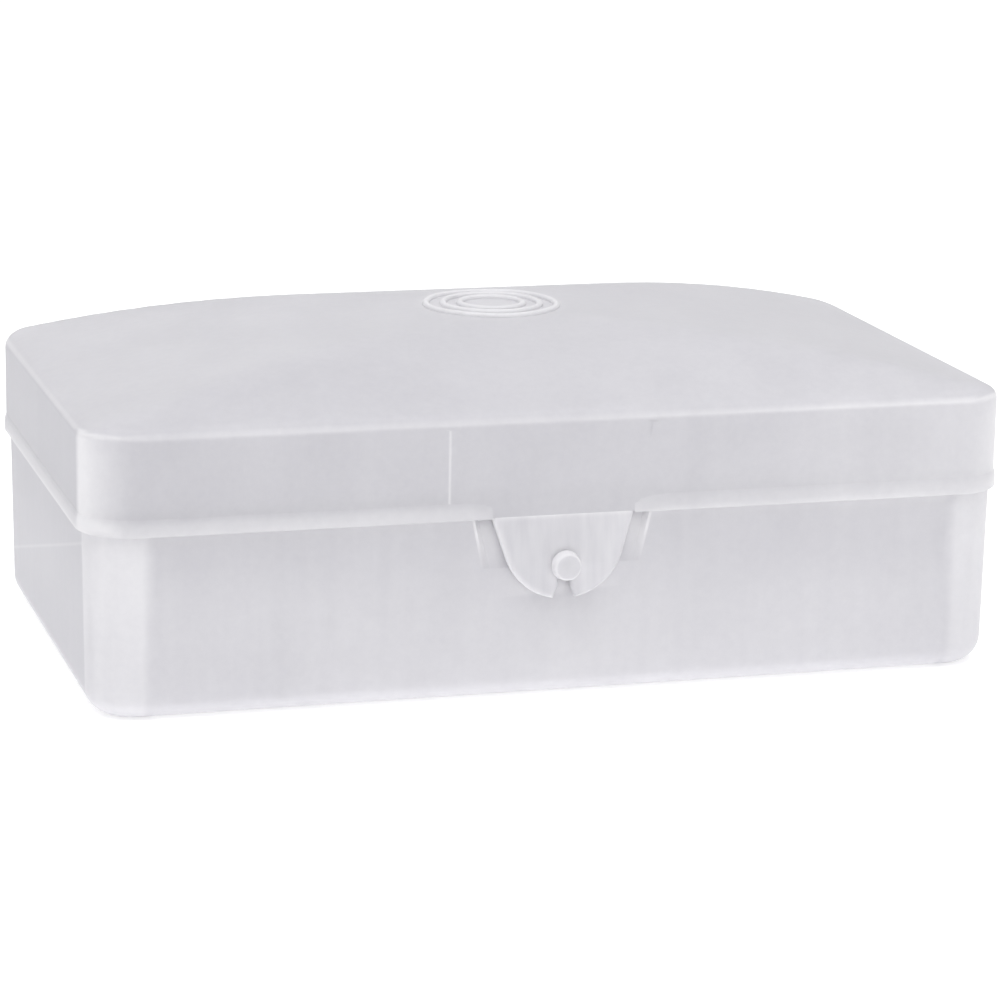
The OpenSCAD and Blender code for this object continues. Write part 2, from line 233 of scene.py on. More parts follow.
def polypropylene(name, flow_step, streak_share=0.25, through=(0.45, 0.22)):
    """Natural polypropylene, injection moulded: milky, a little blue, with a satin skin. The melt
    leaves faint upright streaks, flow_step mm apart, and clouds where it set at different times.
    The clearest and the milkiest plastic let the shares of light through that are given."""
    material, tree, output = new_material(name)
    place = add(tree, "ShaderNodeTexCoord").outputs["Object"]
    # The milk attribute carries the plastic's milkiness and painted light and shade together.
    milk_and_light = add(tree, "ShaderNodeAttribute", attribute_name="milk_and_light").outputs["Fac"]
    clouds = add(tree, "ShaderNodeTexNoise",
                 {"Scale": 1 / (CLOUD_SIZE * MM), "Detail": 3, "Roughness": 0.5}, {"Vector": place})
    stretch = add(tree, "ShaderNodeMapping", {"Scale": (1, 1, STREAK_STRETCH)}, {"Vector": place})
    streaks = add(tree, "ShaderNodeTexNoise",
                  {"Scale": 1 / (flow_step * MM), "Detail": 2, "Roughness": 0.6},
                  {"Vector": stretch.outputs["Vector"]})
    frost = add(tree, "ShaderNodeTexNoise",
                {"Scale": 1 / (FROST_SIZE * MM), "Detail": 4, "Roughness": 0.7}, {"Vector": place})
    frosty = add(tree, "ShaderNodeMix", {"Factor": 0.6},
                 {"A": clouds.outputs["Fac"], "B": frost.outputs["Fac"]}, data_type="FLOAT")
    mottle = add(tree, "ShaderNodeMix", {"Factor": streak_share},
                 {"A": frosty.outputs[0], "B": streaks.outputs["Fac"]}, data_type="FLOAT")
    shade = add(tree, "ShaderNodeMapRange",
                {"From Min": 0.35, "From Max": 0.65, "To Min": -0.1, "To Max": 0.1},
                {"Value": mottle.outputs[0]})
    share = add(tree, "ShaderNodeMath", None, {0: milk_and_light, 1: shade.outputs["Result"]},
                operation="ADD", use_clamp=True)
    tint = add(tree, "ShaderNodeMix", {"A": linear(CLEAR_TINT), "B": linear(MILK_TINT)},
               {"Factor": share.outputs[0]}, data_type="RGBA")
    clear = add(tree, "ShaderNodeMapRange", {"To Min": through[0], "To Max": through[1]},
                {"Value": share.outputs[0]})
    grain = add(tree, "ShaderNodeTexNoise", {"Scale": 1 / (SKIN_SIZE * MM), "Detail": 2},
                {"Vector": place})
    skin = add(tree, "ShaderNodeMix", {"Factor": 0.35},
               {"A": grain.outputs["Fac"], "B": streaks.outputs["Fac"]}, data_type="FLOAT")
    relief = add(tree, "ShaderNodeBump", {"Strength": 0.12, "Distance": SKIN_DEPTH * MM},
                 {"Height": skin.outputs[0]})
    rough = add(tree, "ShaderNodeMapRange", {"To Min": 0.3, "To Max": 0.42},
                {"Value": mottle.outputs[0]})
    plastic = add(tree, "ShaderNodeBsdfPrincipled",
                  {"IOR": 1.49, "Specular IOR Level": 0.1},
                  {"Base Color": tint.outputs[2], "Roughness": rough.outputs["Result"],
                   "Transmission Weight": clear.outputs["Result"],
                   "Normal": relief.outputs["Normal"]})
    tree.links.new(plastic.outputs["BSDF"], output.inputs["Surface"])
    return material


def arc(x, z, radius, start, end, steps):
    """Points of an arc round (x, z), between two angles in degrees."""
    angles = [math.radians(start + (end - start) * i / steps) for i in range(steps + 1)]
    return [(x + radius * math.cos(a), z + radius * math.sin(a)) for a in angles]


def sweep_round(bm, outline, width, depth, radius, along=1, across=1, closed=False):
    """Carries an outline, drawn outward from the axis of a corner, along the sides of a rounded
    rectangle and spins it round the corners."""
    half = Vector((width / 2 - radius, depth / 2 - radius, 0))
    verts = [bm.verts.new((half.x + x, -half.y, z)) for x, z in outline]
    ends = verts[1:] + verts[:1] if closed else verts[1:]
    geom = verts + [bm.edges.new(pair) for pair in zip(verts, ends)]
    for x, y in ((1, 1), (-1, 1), (-1, -1), (1, -1)):
        corner = Vector((x * half.x, y * half.y, 0))
        side = Vector((0, 2 * half.y * y, 0)) if x == y else Vector((2 * half.x * x, 0, 0))
        steps = across if x == y else along
        geom = bmesh.ops.spin(bm, geom=geom, cent=corner, axis=(0, 0, 1), dvec=side / steps,
                              angle=0, steps=steps)["geom_last"]
        geom = bmesh.ops.spin(bm, geom=geom, cent=corner, axis=(0, 0, 1), dvec=(0, 0, 0),
                              angle=math.pi / 2, steps=TURN_STEPS)["geom_last"]
    bmesh.ops.remove_doubles(bm, verts=bm.verts, dist=0.001)
    bmesh.ops.dissolve_degenerate(bm, dist=0.0005, edges=bm.edges)


def cut(bm, faces, spot, across):
    """Cuts faces, with their edges and corners, where a plane through the spot crosses them."""
    parts = dict.fromkeys(part for face in faces for part in (face, *face.edges, *face.verts))
    bmesh.ops.bisect_plane(bm, geom=list(parts), dist=0.0001, plane_co=spot, plane_no=across)


def finish_piece(name, bm, body, material, milk_and_light, sharp=38):
    """Marks how milky it is, with its painted light and shade, scales the mesh to metres and makes
    it a piece that rides on its body and has its material's slot."""
    bmesh.ops.remove_doubles(bm, verts=bm.verts, dist=0.0005)
    bmesh.ops.recalc_face_normals(bm, faces=bm.faces)
    layer = bm.verts.layers.float.new("milk_and_light")
    for vert in bm.verts:
        vert[layer] = min(1.0, max(0.0, milk_and_light(vert.co)))
    for face in bm.faces:
        face.smooth = True
    for edge in bm.edges:
        edge.smooth = len(edge.link_faces) == 2 and edge.calc_face_angle() < math.radians(sharp)
    bm.transform(Matrix.Scale(MM, 4))
    mesh = bpy.data.meshes.new(name)
    bm.to_mesh(mesh)
    bm.free()
    mesh.materials.append(material)
    piece = bpy.data.objects.new(name, mesh)
    scene.collection.objects.link(piece)
    shading = piece.modifiers.new("even_shading", "WEIGHTED_NORMAL")
    shading.keep_sharp = True
    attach(piece, body)
    return piece


def pocket_half(z):
    """Half width of the pocket in the front wall, at a height."""
    return POCKET_LOW + (POCKET_TOP - POCKET_LOW) * (z - POCKET_Z) / POCKET_H


base_plastic = polypropylene("natural_polypropylene_base", flow_step=1.6)
foot_x = CORNER_R - DRAFT - FOOT_R
inner_x = CORNER_R - BASE_WALL
# The milk of the long walls by height carries painted light: a bright line at the foot, lighter low
# down, and lifted under the lid against the shade of its overhang.
WALL_ROWS = (6, 9, 11.5, 12.3, 15, 17.4, 18.6, 19.4)
WALL_ROW_MILK_AND_LIGHT = (0.55, 0.56, 0.54, 0.53, 0.48, 0.44, 0.45, 0.5)
wall_rows = [(CORNER_R - DRAFT * (1 - (z - FOOT_R) / (BASE_H - FOOT_R)), z) for z in WALL_ROWS]
tray_outline = ([(0, 0)] + arc(foot_x, FOOT_R, FOOT_R, -90, 0, 8) + wall_rows
                + arc(CORNER_R - LEDGE_R, BASE_H + LEDGE_UP - LEDGE_R, LEDGE_R, 0, 90, 3)
                + arc(inner_x + LEDGE_R, BASE_H + LEDGE_UP - LEDGE_R, LEDGE_R, 90, 180, 3)
                + arc(foot_x, FOOT_R, FOOT_R - BASE_FLOOR, 0, -90, 6) + [(0, BASE_FLOOR)])
bm = bmesh.new()
sweep_round(bm, tray_outline, BASE_W, BASE_D, CORNER_R, along=8, across=2)
bmesh.ops.holes_fill(bm, edges=[e for e in bm.edges if e.is_boundary], sides=0)

# Cuts beside the corners and behind the tongue's slit carry the change in painted light, from the
# clear wall to the white.
corner_x = BASE_W / 2 - CORNER_R
for x in (corner_x - CORNER_FADE[0], corner_x - CORNER_FADE[1], SLIT_GLOW):
    for side in (-1, 1):
        cut(bm, bm.faces, (side * x, 0, 0), (1, 0, 0))

# A faint weld line runs across the left end, from low at the back to high at the front.
weld_slant = Vector((0, WELD_FRONT_Z - WELD_BACK_Z, BASE_D - 2 * CORNER_R)).normalized()
weld_middle = Vector((0, 0, (WELD_FRONT_Z + WELD_BACK_Z) / 2))
for shift in (-WELD_HALF, 0, WELD_HALF):
    end = [f for f in bm.faces if f.calc_center_median().x < DRAFT + 0.05 - BASE_W / 2]
    cut(bm, end, (0, 0, weld_middle.z + shift), weld_slant)

# The pocket: the front wall is cut along its sides and its lower end, and pressed in.
slant = (POCKET_TOP - POCKET_LOW) / POCKET_H
for side in (-1, 1):
    for inset in (-POCKET_LINE - POCKET_HEM, -POCKET_LINE, 0,
                  POCKET_SIDE, POCKET_SIDE + POCKET_HEM):
        front = [f for f in bm.faces if all(v.co.y < FACE_Y + BASE_WALL / 2 for v in f.verts)]
        cut(bm, front, (side * (POCKET_LOW - inset), 0, POCKET_Z), (side, 0, -slant))
for cut_z in (POCKET_Z - POCKET_HEM, POCKET_Z):
    front = [f for f in bm.faces if f.calc_center_median().y < FACE_Y + BASE_WALL / 2
             and abs(f.calc_center_median().x) < POCKET_TOP and f.calc_center_median().z > FOOT_R]
    cut(bm, front, (0, 0, cut_z), (0, 0, 1))
for vert in bm.verts:
    p = vert.co
    in_pocket = p.z > POCKET_Z and abs(p.x) < pocket_half(p.z) - POCKET_SIDE + TOUCH
    if p.y < FACE_Y + BASE_WALL / 2 and in_pocket:
        p.y += POCKET_DEPTH * (p.z - POCKET_Z) / POCKET_H


# How white the marks of the tray are, mostly painted light and shade, and how much they add to or
# take from the milk of the wall.
LOW_Z = 15
CORNER_LAST = 0.8
CORNER_LESS_LOW = 0.14
CORNER_LESS_RIGHT = 0.06
CORNER_LESS_LAST = 0.16
CORNER_LESS_FADED = 0.2
POCKET_PAINTED_LIGHT = 0.85
SLIT_PAINTED_LIGHT = 0.95
WELD_MORE = 0.3
MIDDLE_MORE = 0.12
RIGHT_MORE = 0.1


def base_milk_and_light(p):
    """Painted light and shade on the milk of the wall: the corners, which fade into the front and
    the back, the pocket with a painted highlight line along its sides, what shows through the
    tongue's slit, and the long walls, most at the foot, in the middle and under the lid at the
    right. The ends are darker, a painted shade, with the weld line across the left one."""
    low = max(0.0, 1 - p.z / LOW_Z)
    past = BASE_W / 2 - CORNER_R - abs(p.x)
    # The corners are whiter than the flat walls, as light leaves the plastic there, painted in; the
    # right one is a little darker, a painted shade.
    if past < CORNER_FADE[0] + TOUCH and abs(p.y) > BASE_D / 2 - CORNER_R + 2 * TOUCH:
        turn = min(1.0, max(0.0, -past / CORNER_R))
        milk_and_light = (CORNER_MILK_AND_LIGHT - CORNER_LESS_LOW * low - (CORNER_LESS_RIGHT if p.x > 0 else 0)
                - CORNER_LESS_LAST * max(0.0, turn - CORNER_LAST) / (1 - CORNER_LAST))
        return milk_and_light - CORNER_LESS_FADED * max(0.0, past) / CORNER_FADE[0]
    on_front = p.y < FACE_Y + BASE_WALL / 2
    inset = pocket_half(p.z) - abs(p.x)
    # Painted light: the pocket is whitened against the shade of the tongue over it, with a painted
    # highlight line along its sides.
    if inset > -POCKET_LINE - TOUCH and on_front and p.z > POCKET_Z:
        most = POCKET_PAINTED_LIGHT if inset > POCKET_SIDE + TOUCH else 1
        return WALL_MILK + (most - WALL_MILK) * min(1.0, (p.z - POCKET_Z) / POCKET_H * 1.4)
    # Painted light: the wall seen through the tongue's slit is whitened against the shade behind
    # the tongue.
    if abs(p.x) < SLIT_GLOW + TOUCH and on_front and SLIT_GLOW_Z < p.z < POCKET_Z + TOUCH:
        return SLIT_PAINTED_LIGHT
    # Painted light down the walls, by height as in the rows above.
    rows = list(zip((0, 1, *WALL_ROWS, BASE_H + LEDGE_UP), (1, 0.55, *WALL_ROW_MILK_AND_LIGHT, 0.7)))
    wall = next(low_milk_and_light + (high_milk_and_light - low_milk_and_light) * (p.z - low_z) / (high_z - low_z)
                for (low_z, low_milk_and_light), (high_z, high_milk_and_light) in zip(rows, rows[1:])
                if p.z <= high_z + TOUCH)
    # Painted shade: the ends are darker than the long walls.
    if abs(p.x) > BASE_W / 2 - DRAFT - 0.05:
        on_weld = p.x < 0 and abs((p - weld_middle).dot(weld_slant)) < 2 * TOUCH
        return wall - WALL_MILK + END_MILK_SHADED + (WELD_MORE if on_weld else 0)
    # Painted light: lighter low down in the middle of the long walls, and high on the front towards
    # the right.
    to_right = max(0.0, p.x / BASE_W * 2) if p.y < 0 else 0
    return (wall + MIDDLE_MORE * (1 - abs(p.x) / BASE_W * 2) * low
            + RIGHT_MORE * to_right * max(0.0, p.z / 5 - 3))


base_shell = finish_piece("base_shell_piece", bm, "base", base_plastic,
                          base_milk_and_light)
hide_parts("base_shell")


# Seat lip. A thin round-topped wall stands on the ledge of the tray, moulded in one with it, and
# guides the lid's skirt as it closes.
lip_low, lip_high = (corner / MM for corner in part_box("seat_lip"))
LIP_WALL = 0.8
LIP_R = 4.6
SUNK = 0.03
lip_outline = ([(LIP_R - LIP_WALL, BASE_H - SUNK), (LIP_R, BASE_H - SUNK)]
               + arc(LIP_R - LIP_WALL / 2, lip_high.z - LIP_WALL / 2, LIP_WALL / 2, 0, 180, 8))
bm = bmesh.new()
sweep_round(bm, lip_outline, lip_high.x - lip_low.x, lip_high.y - lip_low.y, LIP_R, closed=True)
# Its round top is whiter, painted light.
seat_lip = finish_piece("seat_lip_piece", bm, "base", base_plastic,
                        lambda p: 0.9 if p.z > lip_high.z - LIP_WALL / 2 else 0.5)
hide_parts("seat_lip")


# Drain ribs. Four low round-ended ribs on the floor of the tray, moulded in one with it, hold the
# bar of soap out of the wet.
RIB_COUNT = 4
RIB_W = 1.4
RIB_EDGE_R = 0.35
ribs_low, ribs_high = (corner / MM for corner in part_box("drain_ribs"))
rib_step = (ribs_high.y - ribs_low.y - RIB_W) / (RIB_COUNT - 1)
bm = bmesh.new()
for i in range(RIB_COUNT):
    rib_y = ribs_low.y + RIB_W / 2 + i * rib_step
    middle = Matrix.Translation((0, rib_y, (ribs_high.z + BASE_FLOOR - SUNK) / 2))
    size = (ribs_high.x - ribs_low.x, RIB_W, ribs_high.z - BASE_FLOOR + SUNK)
    bmesh.ops.create_cube(bm, size=1, matrix=middle @ Matrix.Diagonal((*size, 1)))
upright = [e for e in bm.edges if abs(e.verts[0].co.z - e.verts[1].co.z) > RIB_W / 2]
bmesh.ops.bevel(bm, geom=upright, offset=RIB_W / 2 - 0.01, offset_type="OFFSET", affect="EDGES",
                segments=8, profile=0.5, material=-1)
top_edges = [e for e in bm.edges if all(v.co.z > ribs_high.z - TOUCH for v in e.verts)]
bmesh.ops.bevel(bm, geom=top_edges, offset=RIB_EDGE_R, offset_type="OFFSET", affect="EDGES",
                segments=3, profile=0.5, material=-1)
# The round tops of the ribs are whiter, painted light.
drain_ribs = finish_piece("drain_ribs_piece", bm, "base", base_plastic,
                          lambda p: 0.9 if p.z > ribs_high.z - RIB_EDGE_R else 0.45)
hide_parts("drain_ribs")


# Latch stud. A small mushroom stands out of the pocket in the front wall: a thin stem, and a round
# head with a softly domed front that the tongue's keyhole snaps over.
stud_low, stud_high = (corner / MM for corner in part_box("latch_stud"))
STUD_Z = (stud_low.z + stud_high.z) / 2
STUD_R = (stud_high.x - stud_low.x) / 2
STEM_R = 0.5
HEAD_T = 1.4
HEAD_EDGE_R = 0.5
HEAD_TAPER = 0.12
HEAD_CROWN = 0.12
STEM_ROOT_R = 0.15
head_y = stud_low.y
stud_outline = ([(0, head_y), (STUD_R * 0.5, head_y + HEAD_CROWN * 0.25)]
                + [(STUD_R - HEAD_TAPER - HEAD_EDGE_R + x, head_y + HEAD_CROWN + HEAD_EDGE_R - y)
                   for x, y in arc(0, 0, HEAD_EDGE_R, 80, 0, 5)]
                + [(STUD_R, head_y + HEAD_T - 0.06), (STUD_R - 0.1, head_y + HEAD_T)]
                + [(STEM_R + STEM_ROOT_R - x, head_y + HEAD_T + STEM_ROOT_R - y)
                  for x, y in arc(0, 0, STEM_ROOT_R, 90, 0, 2)]
                + [(STEM_R, stud_high.y - 0.25), (STEM_R + 0.08, stud_high.y - 0.05),
                   (STEM_R + 0.2, stud_high.y + SUNK), (0, stud_high.y + SUNK)])
bm = bmesh.new()
verts = [bm.verts.new((r, y, STUD_Z)) for r, y in stud_outline]
geom = verts + [bm.edges.new(pair) for pair in zip(verts, verts[1:])]
bmesh.ops.spin(bm, geom=geom, cent=(0, 0, STUD_Z), axis=(0, 1, 0), dvec=(0, 0, 0),
               angle=2 * math.pi, steps=40, use_merge=True)
bmesh.ops.remove_doubles(bm, verts=bm.verts, dist=0.001)
bmesh.ops.dissolve_degenerate(bm, dist=0.0005, edges=bm.edges)
# The stem and the side of the head are whiter, a painted highlight against their shade.
latch_stud = finish_piece("latch_stud_piece", bm, "base", base_plastic,
                          lambda p: 1 if p.y > head_y + HEAD_CROWN + 0.1 else 0.55)
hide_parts("latch_stud")


# Hinge ears. Two pairs of flat ears stand on the back wall of the tray, moulded in one with it.
# Each runs down into a web, and each pair carries a pin.
ears_low, ears_high = (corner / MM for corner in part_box("hinge_ears"))
HINGE_SPACING = 56
HINGE_R = 2.2
EAR_T = 2
EAR_EDGE_R = 0.3
HINGE_Y = ears_high.y - HINGE_R
HINGE_Z = frame["joints"][0]["pos_m"][2] / MM
ear_gap_x = (ears_high.x - ears_low.x) / 2 - HINGE_SPACING / 2 - EAR_T
WALL_SUNK = 0.35
ear_top = HINGE_Z + HINGE_R / 2


def flat_part(bm, outline, middle_x, thickness, edge_r, segments=3):
    """A plate cut to an outline of Y and Z, with rounded edges, square to the X axis."""
    verts = [bm.verts.new((middle_x - thickness / 2, y, z)) for y, z in outline]
    face = bm.faces.new(verts)
    grown = bmesh.ops.extrude_face_region(bm, geom=[face])["geom"]
    moved = [part for part in grown if isinstance(part, bmesh.types.BMVert)]
    bmesh.ops.translate(bm, vec=(thickness, 0, 0), verts=moved)
    rims = [e for v in verts + moved for e in v.link_edges
            if abs(e.verts[0].co.x - e.verts[1].co.x) < TOUCH]
    bmesh.ops.bevel(bm, geom=list(dict.fromkeys(rims)), offset=edge_r, offset_type="OFFSET",
                    affect="EDGES", segments=segments, profile=0.5, material=-1, clamp_overlap=True)


ear_outline = ([(-FACE_Y - WALL_SUNK, ears_low.z), (-FACE_Y, ears_low.z)]
               + arc(HINGE_Y, HINGE_Z, HINGE_R, -60, 75, 14)
               + [(HINGE_Y - HINGE_R * 0.8, ear_top + 0.35), (-FACE_Y - WALL_SUNK, ear_top + 0.1)])
bm = bmesh.new()
for side in (-1, 1):
    for ear in (-1, 1):
        middle_x = side * HINGE_SPACING / 2 + ear * (ear_gap_x + EAR_T / 2)
        flat_part(bm, ear_outline, middle_x, EAR_T, EAR_EDGE_R)
hinge_ears = finish_piece("hinge_ears_piece", bm, "base", base_plastic,
                          lambda p: 0.6)
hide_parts("hinge_ears")


# Hinge pins. A round pin runs between the ears of each pair, moulded with them.
PIN_R = 1
bm = bmesh.new()
for side in (-1, 1):
    start = Vector((side * HINGE_SPACING / 2 - ear_gap_x - SUNK, HINGE_Y, HINGE_Z))
    turned = Matrix.Translation(start) @ Matrix.Rotation(math.pi / 2, 4, "Y")
    disc = bmesh.ops.create_circle(bm, cap_ends=True, segments=40, radius=PIN_R, matrix=turned)
    face = disc["verts"][0].link_faces[0]
    for length in (ear_gap_x, ear_gap_x + 2 * SUNK):
        grown = bmesh.ops.extrude_face_region(bm, geom=[face])["geom"]
        moved = [part for part in grown if isinstance(part, bmesh.types.BMVert)]
        bmesh.ops.translate(bm, vec=(length, 0, 0), verts=moved)
        face = next(part for part in grown if isinstance(part, bmesh.types.BMFace))
hinge_pins = finish_piece("hinge_pins_piece", bm, "base", base_plastic,
                          lambda p: 0.6)
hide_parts("hinge_pins")


# Lid shell. The lid is one thin moulding: an upright skirt with a soft top edge, under a dome whose
# four slopes meet in soft ridges that run from the crown to the corners.
lid_low, lid_high = (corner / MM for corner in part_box("lid_shell"))
LID_W = lid_high.x - lid_low.x
LID_D = lid_high.y - lid_low.y
LID_WALL = 1
RIM_Z = lid_low.z
LID_R = 6
EDGE_R = 1
BORDER_Z = 31.57
DOME_RISE = 6.8
DOME_HALF = (52.3, 29.8)
DOME_POWER = (2.13, 2.86)
RIDGE_SOFTNESS = 11


def dome(x, y):
    """Height of the dome above its border."""
    along, across = (abs(v / half) ** power
                     for v, half, power in zip((x, y), DOME_HALF, DOME_POWER))
    slope = (along ** RIDGE_SOFTNESS + across ** RIDGE_SOFTNESS) ** (1 / RIDGE_SOFTNESS)
    return DOME_RISE * max(0.0, 1 - slope)


lid_plastic = polypropylene("natural_polypropylene_lid", flow_step=2.2, streak_share=0.2)
ALONG = 60
ACROSS = 32
inward = [(LID_R - EDGE_R) * (1 - i / 4) for i in range(1, 5)]
lid_outline = ([(LID_R, RIM_Z + i * 2) for i in range(5)]
               + arc(LID_R - EDGE_R, BORDER_Z - EDGE_R, EDGE_R, 0, 90, 6)
               + [(x, BORDER_Z) for x in inward])
bm = bmesh.new()
sweep_round(bm, lid_outline, LID_W, LID_D, LID_R, along=ALONG, across=ACROSS)
half_size = Matrix.Diagonal((LID_W / 2 - LID_R, LID_D / 2 - LID_R, 1, 1))
middle = Matrix.Translation((0, 0, BORDER_Z)) @ half_size
bmesh.ops.create_grid(bm, x_segments=ALONG, y_segments=ACROSS, size=1, matrix=middle)
bmesh.ops.remove_doubles(bm, verts=bm.verts, dist=0.002)

# On the front of the skirt a knit line runs down, as where two flows of the melt meet, and there is
# a short nick near the top.
KNIT_X = -12.9
KNIT_HALF = 0.22
NICK_X = 9.75
NICK_LOW = 29.9
NICK_HALF = 0.22
NICK_DEEP = 0.15
skirt_y = LID_D / -2
cuts = [((KNIT_X + i * KNIT_HALF, 0, 0), (1, 0, 0)) for i in (-1, 0, 1)]
cuts += [((NICK_X + i * NICK_HALF, 0, 0), (1, 0, 0)) for i in (-1, 0, 1)]
cuts += [((0, 0, NICK_LOW), (0, 0, 1))]
for spot, across in cuts:
    near = [f for f in bm.faces if f.calc_center_median().y < skirt_y + TOUCH
            and (abs(f.calc_center_median().x - spot[0]) < 2
                 or f.calc_center_median().z > NICK_LOW - 2)]
    cut(bm, near, spot, across)
for vert in bm.verts:
    on_nick = abs(vert.co.x - NICK_X) < TOUCH and vert.co.z > NICK_LOW + 0.3
    if on_nick and vert.co.y < skirt_y + TOUCH:
        vert.co.y += NICK_DEEP
for vert in bm.verts:
    if vert.co.z > BORDER_Z - EDGE_R - TOUCH:
        vert.co.z += dome(vert.co.x, vert.co.y)
bmesh.ops.recalc_face_normals(bm, faces=bm.faces)
bmesh.ops.solidify(bm, geom=list(bm.faces), thickness=LID_WALL)


# How much the marks of the lid, mostly painted light and shade, add to or take from the milk of its
# walls.
RINGS_PATCH = 1.6
RINGS_MORE = 0.16
KNIT_MORE = 0.45
NICK_LESS = 0.3
FRONT_LESS = 0.05
FRONTAL_MORE = 0.06
LEFTWARD_MORE = 0.04
LID_CORNER_MORE = 0.66
RIGHT_CORNER_SHARE = 0.45
rings_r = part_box("lid_rings")[1].x / MM + RINGS_PATCH


def lid_milk_and_light(p):
    """The long walls, and in painted light and shade: the round corners, more so towards the side
    and at the left, a highlight on the soft top edge, and the front, darker, but lighter towards
    the right, most at its very end. The ends are darker too. The knit line runs down the front, and
    the nick is clearer. On the outside of the dome the rings stand in a patch of painted light, and
    the front slope is darker at the left and lighter at the right, and the left-facing slope
    lighter."""
    from_x = abs(p.x) - LID_W / 2 + LID_R
    from_y = abs(p.y) - LID_D / 2 + LID_R
    rise = min(1.0, max(0.0, (p.z - BORDER_Z + EDGE_R) / EDGE_R))
    to_right = min(1.0, max(0.0, (p.x - 4) / 44)) * min(1.0, max(0.0, -p.y / 14 - 0.9))
    along, across = abs(p.x) / DOME_HALF[0], abs(p.y) / DOME_HALF[1]
    if rise > 0.99:
        ridge = (across ** DOME_POWER[1] - along ** DOME_POWER[0]) * (12 if p.x > 0 else 5)
        slope = min(1.0, max(-1.0, ridge))
        frontal = leftward = ringed = 0
        # Painted light on the dome: the front slope darker at the left and lighter at the right,
        # and the left-facing slope lighter.
        if p.y < 0:
            frontal = FRONTAL_MORE * min(1.2, max(-1.0, p.x / 32 - 0.2)) * max(0.0, slope)
        if p.x < 0:
            leftward = LEFTWARD_MORE * max(0.0, -slope)
        # A patch of painted light round the rings, against the shade they cast.
        if p.z > BORDER_Z + dome(p.x, p.y) - LID_WALL / 2:
            ringed = RINGS_MORE * min(1.0, max(0.0, (rings_r - math.hypot(p.x, p.y)) / 2))
        return WALL_MILK + frontal + leftward + ringed
    wall = WALL_MILK if from_x < LID_R - 0.1 or rise > 0.6 else END_MILK_SHADED
    corner = 0
    # Painted light: the round corners are whiter, the right one less.
    if from_x > 0 and from_y > 0:
        turn = math.degrees(math.atan2(from_x, from_y))
        inside = min(1, (90 - turn) / 13)
        wall = END_MILK_SHADED + (WALL_MILK - END_MILK_SHADED) * (inside if rise < 0.6 else 1)
        corner = LID_CORNER_MORE * min(1, max(0, (turn - 8) / 62)) ** 1.2 * inside
        corner *= 1 if p.x < 0 else RIGHT_CORNER_SHARE
    # A painted highlight along the soft top edge, stronger towards the right and at the corners.
    glint = math.sin(2 * math.asin(rise)) ** 4
    edge = (0.3 + 0.3 * to_right + 0.9 * corner) * glint
    on_front = p.y < skirt_y + TOUCH and rise < 0.01
    line = 0
    if on_front and abs(p.x - KNIT_X) < TOUCH:
        line = KNIT_MORE
    if on_front and abs(p.x - NICK_X) < TOUCH and p.z > NICK_LOW - TOUCH:
        line = -NICK_LESS
    # Painted shade on the front of the skirt, and painted light towards its right end.
    front = -FRONT_LESS if p.y < 0 else 0
    at_right = min(1.0, max(0.0, (p.x - 38) / 6)) if to_right > 0 else 0
    face = (front + 0.2 * to_right + 0.05 * at_right) * (1 - rise)
    return wall + face + max(corner * (1 - rise), edge) + line


lid_shell = finish_piece("lid_shell_piece", bm, "lid", lid_plastic, lid_milk_and_light)
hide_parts("lid_shell")


# Lid rim. A low bead runs round the lower edge of the skirt and stiffens it. It is left out in
# front, where the tongue leaves the skirt, and at the back, where the knuckles do.
rim_low, rim_high = (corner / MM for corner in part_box("lid_rim"))
RIM_PROUD = (rim_high.x - rim_low.x - LID_W) / 2
RIM_H = rim_high.z - rim_low.z
RIM_EDGE_R = 0.16
RIM_INTO = 0.5
RIM_R = LID_R + RIM_PROUD
TONGUE_HALF = 8.05
KNUCKLE_W = 8
RIM_DROP = 0.14
RIM_TAPER = 3.5
rim_foot = RIM_Z - RIM_DROP
rim_outline = ([(LID_R - RIM_INTO, RIM_Z + 0.02), (LID_R - SUNK, rim_foot),
                (RIM_R - RIM_EDGE_R, rim_foot)]
               + arc(RIM_R - RIM_EDGE_R, rim_foot + RIM_EDGE_R, RIM_EDGE_R, -60, 0, 3)
               + [(RIM_R, RIM_Z + 0.55), (RIM_R - 0.01, RIM_Z + RIM_H - 0.85),
                  (RIM_R - RIM_PROUD * 0.4, RIM_Z + RIM_H - 0.4),
                  (LID_R - SUNK, RIM_Z + RIM_H), (LID_R - RIM_INTO, RIM_Z + RIM_H - 0.1)])
bm = bmesh.new()
sweep_round(bm, rim_outline, LID_W + 2 * RIM_PROUD, LID_D + 2 * RIM_PROUD, RIM_R, closed=True)
gaps = [(0, -1, TONGUE_HALF), (-HINGE_SPACING / 2, 1, KNUCKLE_W / 2),
        (HINGE_SPACING / 2, 1, KNUCKLE_W / 2)]
for middle_x, end, half in gaps:
    for side in (-1, 1):
        near = [f for f in bm.faces if f.calc_center_median().y * end > LID_D / 2 - LID_R]
        cut(bm, near, (middle_x + side * half, 0, 0), (1, 0, 0))
    inside = [f for f in bm.faces if f.calc_center_median().y * end > LID_D / 2 - LID_R
              and abs(f.calc_center_median().x - middle_x) < half]
    bmesh.ops.delete(bm, geom=inside, context="FACES")
bmesh.ops.holes_fill(bm, edges=[e for e in bm.edges if e.is_boundary], sides=0)

